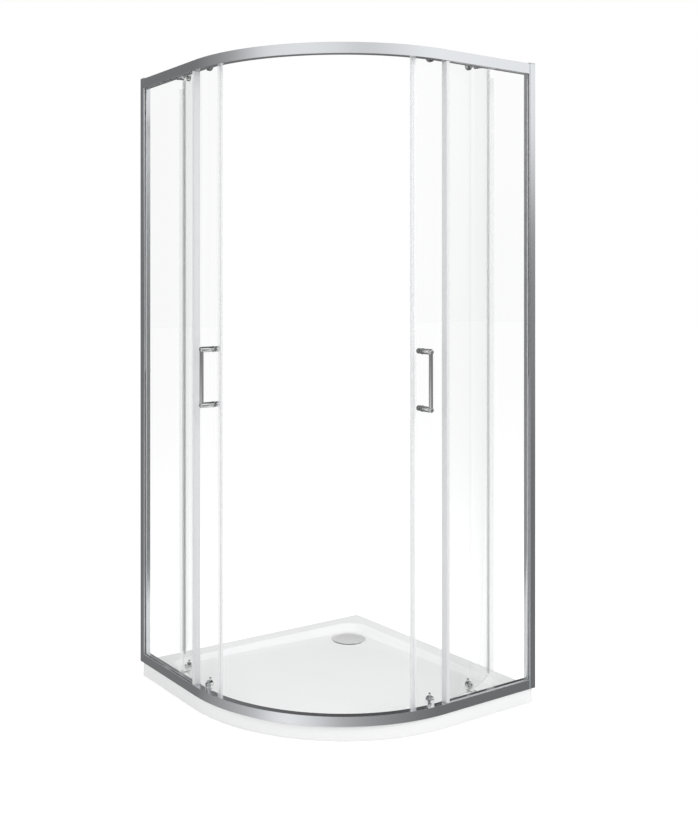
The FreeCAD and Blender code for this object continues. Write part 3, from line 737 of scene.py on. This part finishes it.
caps = bmesh.new()
for side in sides:
    left_bar(caps, side, (0, inner_front), (0, profile_width), top_high.z, caps_high.z)
    left_bar(caps, side, (profile_base + slide_clearance, inner_back - slide_clearance),
             (profile_wall + slide_clearance, profile_width - profile_wall - slide_clearance),
             caps_low.z, top_high.z)
finish_piece("profile_top_caps", caps, cap_plastic, "enclosure",
             ["profile_end_caps"], profile_cap_edge)


# The fixed panes are flat 6 mm toughened glass with ground and polished edges. They stand in
# the rails' channels and in the inner profiles' slots, on light grey rubber gaskets.
glass_clear = (0.988, 0.990, 0.989, 1)
glass_green_dark = (0.42, 0.60, 0.53, 1)
glass_green_light = (0.48, 0.66, 0.59, 1)
glass_index = 1.5
glass_mirror = 0.45                # share of the real reflection that shows
glass_roughness = 0.005
glass_shine = 0.9                  # brightness of what it mirrors
smear_scale = 2.5
smear_stretch = (1, 1, 0.4)
smear_roughness = 0.015
edge_slope = (0.1, 0.5)            # squares of a normal's height where a level edge begins
edge_roughness = 0.25
edge_smear_roughness = 0.1
edge_shows = 0.15                  # share of a level edge that is seen as ground glass
pane_edge = 0.0006
gasket_grey = (0.72, 0.725, 0.74)


def clear_glass(name):
    """Clear glass. Its faces mirror a little, and its level edges show a pale green."""
    glass = new_material(name)
    normal = glass.node("ShaderNodeNewGeometry", output="Normal")
    level = glass.node("ShaderNodeSeparateXYZ", None, {0: normal}, "Z")
    edge = glass.rise(level * level, edge_slope)
    smear = glass.noise(smear_scale, smear_stretch, detail=3.0)
    behind = glass.node("ShaderNodeNewGeometry", output="Backfacing")
    fresnel = glass.node("ShaderNodeFresnel", None, {"IOR": glass_index})
    mirror = fresnel * (1 - behind) * glass_mirror
    through = glass.node("ShaderNodeBsdfTransparent", None, {"Color": glass_clear})
    gloss = glass.node("ShaderNodeBsdfPrincipled", None, {
        "Base Color": grey(glass_shine), "Metallic": 1.0,
        "Roughness": glass_roughness + smear * smear_roughness})
    broad = glass.node("ShaderNodeMixShader", None, {0: mirror, 1: through, 2: gloss})
    ground = glass.node("ShaderNodeBsdfPrincipled", None, {
        "Base Color": glass.mix(smear, glass_green_dark, glass_green_light),
        "Roughness": edge_roughness + smear * edge_smear_roughness})
    return glass.out(glass.node("ShaderNodeMixShader", None,
                                {0: edge * edge_shows, 1: broad, 2: ground}))


fixed_glass = clear_glass("glass_fixed_pane")
low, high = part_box("left_fixed_glass")
fixed_glass_end = high.x
for side in sides:
    pane = bmesh.new()
    upright(pane, side, ((low.x, low.y), (high.x, low.y), (high.x, high.y), (low.x, high.y)),
            low.z, high.z)
    finish_piece(side + "_fixed_pane", pane, fixed_glass, "enclosure",
                 [side + "_fixed_glass"], pane_edge)
gasket_rubber = soft_moulding("gasket_light_grey", gasket_grey, roughness=0.5)
carry_over("glazing_gaskets", gasket_rubber, fine_edge)


# A soft translucent PVC profile is clipped over the front edge of each fixed pane. Its fin
# reaches inwards, and the closed door's own fin stops just before it to keep the water in.
seal_leg = 0.006
seal_nose = 0.006
seal_skin = 0.0012
seal_reach = 0.022
clip_gap = 0.0001                  # left between a clip and its glass
seals_low, seals_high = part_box("fixed_panel_seals")
seal_edge = 0.0004
vinyl_grey = (0.72, 0.725, 0.74)
vinyl_opacity = 0.90
vinyl_cloud_scale = 6.0
vinyl_shade = 0.97                 # darkest share of the colour
vinyl_gloss = 0.2                  # specular level
vinyl_roughness = 0.42
extruded = (450, 450, 0.3)         # lines to the metre along X, Y and Z
extruded_roughness = 0.14
extruded_opacity = 0.05
extruded_depth = 0.000003


def seal_vinyl(name, colour, alpha):
    """Translucent soft PVC with the long faint lines of extrusion. Back faces let light through."""
    vinyl = new_material(name)
    lines = vinyl.noise(1.0, extruded)
    behind = vinyl.node("ShaderNodeNewGeometry", output="Backfacing")
    cloud = vinyl.noise(vinyl_cloud_scale)
    return vinyl.out(vinyl.node("ShaderNodeBsdfPrincipled", None, {
        "Base Color": vinyl.mix(cloud, (*[part * vinyl_shade for part in colour], 1),
                                (*colour, 1)),
        "Roughness": vinyl_roughness + lines * extruded_roughness,
        "Specular IOR Level": vinyl_gloss,
        "Alpha": (alpha + lines * extruded_opacity) * (1 - behind),
        "Normal": vinyl.bump(lines, extruded_depth),
    }))


vinyl = seal_vinyl("vinyl_translucent", vinyl_grey, vinyl_opacity)
seals = bmesh.new()
for side in sides:
    back = fixed_glass_end - seal_leg
    front = fixed_glass_end + seal_nose
    outer = glass_inset - seal_skin - half
    inner = glass_back + seal_skin - half
    fin = fixed_glass_end + seal_nose / 2
    reach = seal_reach - half
    edge_face = fixed_glass_end + clip_gap
    inner_face = glass_back + clip_gap - half
    outer_face = glass_inset - clip_gap - half
    upright(seals, side,
            ((back, outer), (front, outer), (front, reach), (fin, reach),
             (fixed_glass_end, inner), (back, inner), (back, inner_face), (edge_face, inner_face),
             (edge_face, outer_face), (back, outer_face)), seals_low.z, seals_high.z)
finish_piece("fixed_pane_seals", seals, vinyl, "enclosure", ["fixed_panel_seals"],
             seal_edge)


# The two sliding doors are bent 6 mm toughened glass, drilled for the rollers and handles.
# They run inside the rails, round the bend's centre.
door_glass_gap = 0.0019            # rail's inner face to the door's glass
plain_edge = 0.0005
door_outer = bend_radius - rail_depth - door_glass_gap
door_inner = door_outer - glass_thickness
door_middle = (door_outer + door_inner) / 2
door_glass = clear_glass("glass_bent_door")
for side in sides:
    carry_over(side + "_door_glass", door_glass, plain_edge)


# Each door's leading edge has a clipped PVC profile with a hollow nose. A white magnet strip
# in the nose draws the two closed doors together along their whole height.
glass_low, glass_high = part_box("left_door_glass")
door_open_angle = 11.3             # leading face past the start of the bend, in degrees
leading_core = 0.006
door_seal_leg = 0.008
magnet_width = 0.0036
magnet_depth = 0.006
magnet_end_gap = 0.0004
nose_slit = 0.0001                 # cut in the nose's inner wall, beside the clip
arc_steps = 4
clear_vinyl_colour = (0.86, 0.865, 0.88)
clear_vinyl_opacity = 0.48
magnet_colour = (0.97, 0.97, 0.97)


def door_angle(length):
    """Angle about the bend's centre of a length along the door's glass."""
    return math.degrees(length / door_middle)


def door_plan(distance, angle):
    """Plan point at a distance from the bend's centre and an angle past the bend's start."""
    turn = math.radians(angle - 90)
    return Vector((bend_centre.x + distance * math.cos(turn),
                   bend_centre.y + distance * math.sin(turn)))


def door_arc(distance, start, end):
    """Plan points round the bend's centre, in even steps from one angle to another."""
    return [door_plan(distance, start + (end - start) * step / arc_steps)
            for step in range(arc_steps + 1)]


def clip_channel(start, edge):
    """Plan points round the channel of a clip, just clear of a door's glass and its edge."""
    past = edge + math.copysign(door_angle(clip_gap), edge - start)
    return (door_arc(door_inner - clip_gap, start, past)
            + door_arc(door_outer + clip_gap, past, start))


leading_edge = door_open_angle - door_angle(leading_core + 2 * seal_skin)
skin_angle = door_angle(seal_skin)
magnet_white = soft_moulding("magnet_strip_white", magnet_colour, roughness=0.4)
clear_vinyl = seal_vinyl("vinyl_clear", clear_vinyl_colour, clear_vinyl_opacity)
for side in sides:
    leading = bmesh.new()
    start = leading_edge - door_angle(door_seal_leg)
    core_start = leading_edge + skin_angle
    core_end = door_open_angle - skin_angle
    slit = core_start + door_angle(nose_slit)
    upright(leading, side, door_arc(door_outer + seal_skin, start, door_open_angle)
            + door_arc(door_inner - seal_skin, door_open_angle, slit)
            + door_arc(door_inner, slit, core_end) + door_arc(door_outer, core_end, core_start)
            + door_arc(door_inner - seal_skin, core_start, start)
            + clip_channel(start, leading_edge), glass_low.z, glass_high.z)
    finish_piece(side + "_leading_vinyl", leading, clear_vinyl, side + "_door",
                 [side + "_door_leading_seal"], small_edge)

    magnet = bmesh.new()
    middle = door_open_angle - door_angle(seal_skin + leading_core / 2)
    reach = door_angle(magnet_width / 2)
    upright(magnet, side, [door_plan(door_middle + across * magnet_depth / 2, middle + way * reach)
                           for across, way in ((-1, -1), (1, -1), (1, 1), (-1, 1))],
            glass_low.z + magnet_end_gap, glass_high.z - magnet_end_gap)
    finish_piece(side + "_magnet_bar", magnet, magnet_white, side + "_door",
                 [side + "_door_magnet_strip"], plain_edge)


# The doors' trailing edges have another clear PVC clip. Its fin points outwards, and comes
# up to the fixed pane's fin when the door is closed.
door_meeting_gap = 0.0004
door_hook_gap = 0.002              # closed, between the door's fin and the fixed seal
trailing_nose = 0.003
trailing_fin_gap = 0.0012          # fin's tip to the fixed seal's leg

door_travel = 45 - door_open_angle - door_angle(door_meeting_gap / 2)
closed_trailing = math.degrees(math.asin(
    (bend_centre.x - fixed_glass_end + door_hook_gap) / (door_outer + seal_skin)))
trailing_edge = -(closed_trailing + door_travel)
trailing_fin_tip = bend_radius - glass_back - seal_skin - trailing_fin_gap

for side in sides:
    trailing = bmesh.new()
    nose = trailing_edge - door_angle(trailing_nose)
    start = trailing_edge + door_angle(door_seal_leg)
    upright(trailing, side, door_arc(door_outer + seal_skin, start, nose)
            + door_arc(door_inner - seal_skin, nose, start) + clip_channel(start, trailing_edge),
            glass_low.z, glass_high.z)
    upright(trailing, side, door_arc(trailing_fin_tip, trailing_edge, nose)
            + door_arc(door_outer + seal_skin / 2, nose, trailing_edge), seals_low.z, seals_high.z)
    finish_piece(side + "_trailing_vinyl", trailing, clear_vinyl, side + "_door",
                 [side + "_door_trailing_seal"], small_edge)


# Each door hangs from two rollers. A round chrome cap inside holds the steel axle, which
# goes through the glass to a nylon wheel on the upper rail's groove, behind a chrome nut.
roller_setback = 0.072             # from the door's leading face, along the glass
roller_spacing = 0.176
roller_angles = {"front": door_open_angle - door_angle(roller_setback),
                 "rear": door_open_angle - door_angle(roller_setback + roller_spacing)}
pad_gap = 0.0002
cap_face = door_inner - pad_gap
cap_radius = 0.014
cap_depth = 0.011
cap_edge_radius = 0.0045
cap_dimple_radius = 0.0042
cap_dimple = 0.0006
cap_shoulder_steps = 8
nut_radius = 0.007
nut_thickness = 0.0016
seat_edge = 0.0004                 # where a fitting stands on the glass
peg_edge_steps = 5
mirror_haze = 0.02
wheel_radius = 0.009
wheel_gap = 0.0003
top_wheel_z = top_low.z + rail_wall + wheel_gap + wheel_radius
bottom_wheel_z = rail_high.z - rail_wall - wheel_gap - wheel_radius
housing_setback = 0.011
housing_z = glass_low.z + housing_setback


def door_place(side, angle, height):
    """Maps a peg's (along, across, up) to its place on a door, outwards through the glass."""
    turn = math.radians(angle - 90)
    out = Vector((math.cos(turn), math.sin(turn), 0))
    aside = Vector((-math.sin(turn), math.cos(turn), 0))

    def place(along, across, up):
        return sided(side, bend_centre + out * along + aside * across + Vector((0, 0, height + up)))
    return place


def peg(bm, place, start, end, radius, start_edge, end_edge, steps=turned_steps):
    """Round peg with an eased edge at each end."""
    turned(bm, rounded([(start, 0, 0, 0), (start, radius, start_edge, peg_edge_steps),
                        (end, radius, end_edge, peg_edge_steps), (end, 0, 0, 0)]),
           place, steps=steps)


def dimpled_cap(bm, place, depth, radius, shoulder):
    """Round cap on the glass, with a rounded shoulder and a shallow dimple in its face."""
    front = cap_face - depth
    turned(bm, rounded([(front + cap_dimple, 0, 0, 0),
                        (front + cap_dimple, cap_dimple_radius, cap_dimple / 2, eased_steps),
                        (front, cap_dimple_radius + cap_dimple, cap_dimple / 2, eased_steps),
                        (front, radius, shoulder, cap_shoulder_steps),
                        (cap_face, radius, seat_edge, eased_steps), (cap_face, 0, 0, 0)]), place)


chrome = chrome_plate("chrome_mirror", mirror_haze, 1.0)
for side in sides:
    door = side + "_door"
    caps = bmesh.new()
    nuts = bmesh.new()
    for angle in roller_angles.values():
        place = door_place(side, angle, top_wheel_z)
        dimpled_cap(caps, place, cap_depth, cap_radius, cap_edge_radius)
        for height in (top_wheel_z, housing_z):
            peg(nuts, door_place(side, angle, height), door_outer, door_outer + nut_thickness,
                nut_radius, fine_edge, plain_edge)
    finish_piece(side + "_roller_caps", caps, chrome, door, [door + "_top_caps"])
    finish_piece(side + "_roller_nuts", nuts, chrome, door, [door + "_roller_nuts"])
    carry_over(door + "_top_axles", steel, fine_edge)


# The wheels are turned nylon with a recessed web between the hub and the tread, and a
# chamfer along both edges. They spin freely on their steel axles.
axle_bore = 0.00255
axle_end_gap = 0.0005              # axle's end to the rail's web
axle_head_thickness = 0.0012
axle_play = 0.0003
wheel_hub = 0.0045
wheel_rim = 0.0016
wheel_recess = 0.0008
wheel_draft = 0.0003               # slope of the recess's sides
wheel_chamfer = 0.0006
wheel_width = 0.007
wheel_steps = 48
wheel_outer = bend_radius - groove_inset - axle_end_gap - axle_head_thickness - axle_play
wheel_middle = wheel_outer - wheel_width / 2


def wheel_profile():
    """Closed profile of a wheel, from its bore out to its tread on both sides."""
    edge = wheel_width / 2
    tread = wheel_radius - wheel_chamfer
    quarter = [(edge, axle_bore), (edge, wheel_hub), (edge - wheel_recess, wheel_hub + wheel_draft),
               (edge - wheel_recess, wheel_radius - wheel_rim - wheel_draft),
               (edge, wheel_radius - wheel_rim), (edge, tread), (edge - wheel_chamfer, wheel_radius)]
    mirrored = [(-along, off) for along, off in reversed(quarter)]
    return [(wheel_middle + along, off) for along, off in quarter + mirrored]


for side in sides:
    for end, angle in roller_angles.items():
        for level, height in (("top", top_wheel_z), ("bottom", bottom_wheel_z)):
            name = f"{side}_{end}_{level}_wheel"
            wheel = bmesh.new()
            turned(wheel, wheel_profile(), door_place(side, angle, height), closed=True,
                   steps=wheel_steps)
            finish_piece(name + "_nylon", wheel, nylon, name, [name])


# The lower rollers are sprung. A chrome housing is screwed through the glass, and pressing
# the knob on its slide pushes the wheel out of the rail, so the door swings in for cleaning.
housing_radius = 0.0125
housing_depth = 0.0126
housing_edge_radius = 0.0035
spring_wire_radius = 0.00045
rod_distance = cap_face - housing_depth / 2 - spring_wire_radius
rod_radius = 0.002
rod_reach = 0.001                  # how far the rod runs into its knob and its foot
release_travel = 0.004
stop_gap = 0.0003
knob_radius = 0.004
knob_thickness = 0.0025
knob_top_edge = 0.0010
rod_steps = 32
knob_steps = 40
foot_half_width = 0.005
foot_depth = 0.0064
foot_drop = 0.005
axle_radius = 0.0025
axle_collar_radius = 0.0042
axle_collar_thickness = 0.001


def beside_glass(place, distance):
    """Maps an upright peg's (along, across, up) to its place at a distance from the bend's centre."""
    return lambda along, across, up: place(distance + across, up, along)


for side in sides:
    door = side + "_door"
    housings = bmesh.new()
    for end, angle in roller_angles.items():
        place = door_place(side, angle, housing_z)
        dimpled_cap(housings, place, housing_depth, housing_radius, housing_edge_radius)
        slide = bmesh.new()
        knob_low = housing_radius + release_travel + stop_gap
        foot_top = -housing_radius - stop_gap
        foot_low = bottom_wheel_z - foot_drop - housing_z
        on_rod = beside_glass(place, rod_distance)
        peg(slide, on_rod, foot_low + rod_reach, knob_low + rod_reach, rod_radius,
            small_edge, small_edge, rod_steps)
        peg(slide, on_rod, knob_low, knob_low + knob_thickness, knob_radius,
            plain_edge, knob_top_edge, knob_steps)
        near = rod_distance - foot_depth / 2
        foot_corners = ((0, -foot_half_width), (foot_depth, -foot_half_width),
                        (foot_depth, foot_half_width), (0, foot_half_width))
        foot = skin(slide, [[place(near + depth, across, height) for depth, across in foot_corners]
                            for height in (foot_low, foot_top)])
        for row in foot:
            slide.faces.new(row)
        axle = door_place(side, angle, bottom_wheel_z)
        head = wheel_outer + axle_play
        peg(slide, axle, rod_distance, head + axle_head_thickness / 2, axle_radius,
            fine_edge, fine_edge, rod_steps)
        peg(slide, axle, head, head + axle_head_thickness, axle_collar_radius,
            fine_edge, seat_edge, knob_steps)
        collar = wheel_outer - wheel_width - axle_play
        peg(slide, axle, collar - axle_collar_thickness, collar, axle_collar_radius,
            fine_edge, fine_edge, knob_steps)
        release = f"{side}_{end}_release"
        finish_piece(release + "_plunger", slide, chrome, release, [release + "_slide"])
        carry_over(release + "_spring", steel)
    finish_piece(side + "_lower_housings", housings, chrome, door,
                 [door + "_bottom_housings"])


# The handles are chromed bars, each on two posts that are screwed together through the
# glass with a round knob inside. A grey washer keeps each post off the glass.
handle_setback = 0.037             # from the door's leading face
handle_above_rim = 0.960
handle_angle = door_open_angle - door_angle(handle_setback)
handle_centre_z = rim_z + handle_above_rim
handle_height = 0.180
handle_bar_radius = 0.006
handle_post_radius = 0.008
handle_stand_off = 0.0435
handle_end_radius = 0.0045
washer_radius = 0.0092
washer_thickness = 0.002
washer_edge = 0.0006
knob_depth = 0.015
knob_edge = 0.0025

for side in sides:
    door = side + "_door"
    place = door_place(side, handle_angle, handle_centre_z)
    reach = handle_height / 2 - handle_post_radius
    centre = door_outer + handle_stand_off
    bar = bmesh.new()
    peg(bar, beside_glass(place, centre), -reach, reach, handle_bar_radius, small_edge, small_edge)
    knobs = bmesh.new()
    washers = bmesh.new()
    for height in (handle_centre_z - reach, handle_centre_z + reach):
        post = door_place(side, handle_angle, height)
        peg(bar, post, door_outer + washer_thickness, centre + handle_bar_radius,
            handle_post_radius, seat_edge, handle_end_radius)
        peg(knobs, post, cap_face - knob_depth, cap_face, handle_post_radius, knob_edge, seat_edge)
        peg(washers, post, door_outer, door_outer + washer_thickness, washer_radius,
            small_edge, washer_edge)
    finish_piece(side + "_handle_grip", bar, chrome, door, [door + "_handle_bar"])
    finish_piece(side + "_handle_backs", knobs, chrome, door, [door + "_handle_knobs"])
    finish_piece(side + "_handle_pads", washers, rubber, door,
                 [door + "_handle_washers"])
    carry_over(door + "_handle_studs", steel, fine_edge)


# Nylon blocks join the rails to the inner profiles, rubber blocks stop the open doors' rear
# wheels, and small stainless pan-head screws hold the frame together from the inside.
carry_over("rail_connectors", nylon, small_edge)
carry_over("door_stops", rubber, plain_edge)
carry_over("frame_screws", steel, small_edge)
